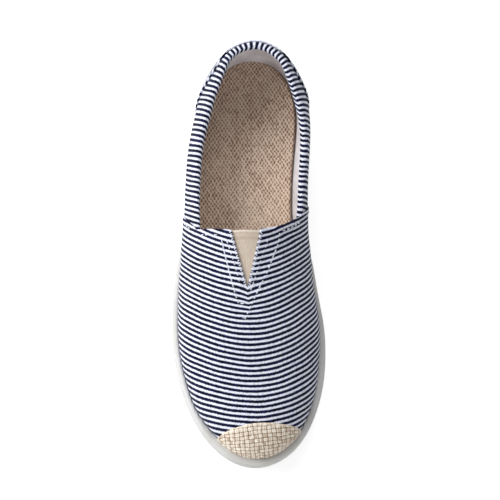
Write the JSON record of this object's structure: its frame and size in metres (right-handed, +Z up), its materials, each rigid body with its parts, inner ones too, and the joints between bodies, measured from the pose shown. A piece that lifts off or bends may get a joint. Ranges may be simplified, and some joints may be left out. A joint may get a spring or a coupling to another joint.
{
  "type": "slip-on canvas shoe",
  "caption": "Right-foot canvas slip-on shoe with striped upper, elastic gore in the throat, woven toe cap, soft open collar, woven insole and a moulded rubber cup sole.",
  "frame": {"origin": "on the ground under the middle of the shoe's bounding box", "axes": "+Y along the shoe towards the heel, -Y towards the toe, +X towards the medial side, +Z up"},
  "size_m": [0.0946, 0.262, 0.0669],
  "materials": {
    "sole_rubber": "matt off-white moulded rubber",
    "insole_weave": "woven straw, beige and brown",
    "upper_canvas": "cotton canvas with narrow navy and white stripes",
    "gore_elastic": "beige ribbed elastic webbing",
    "cap_hessian": "coarse natural hessian",
    "counter_canvas": "cotton canvas with narrow navy and white stripes"
  },
  "bodies": {
    "root": {"sole": "sole_rubber", "insole": "insole_weave", "upper": "upper_canvas", "gore": "gore_elastic", "toe_cap": "cap_hessian", "heel_counter": "counter_canvas"}
  },
  "joints": []
}
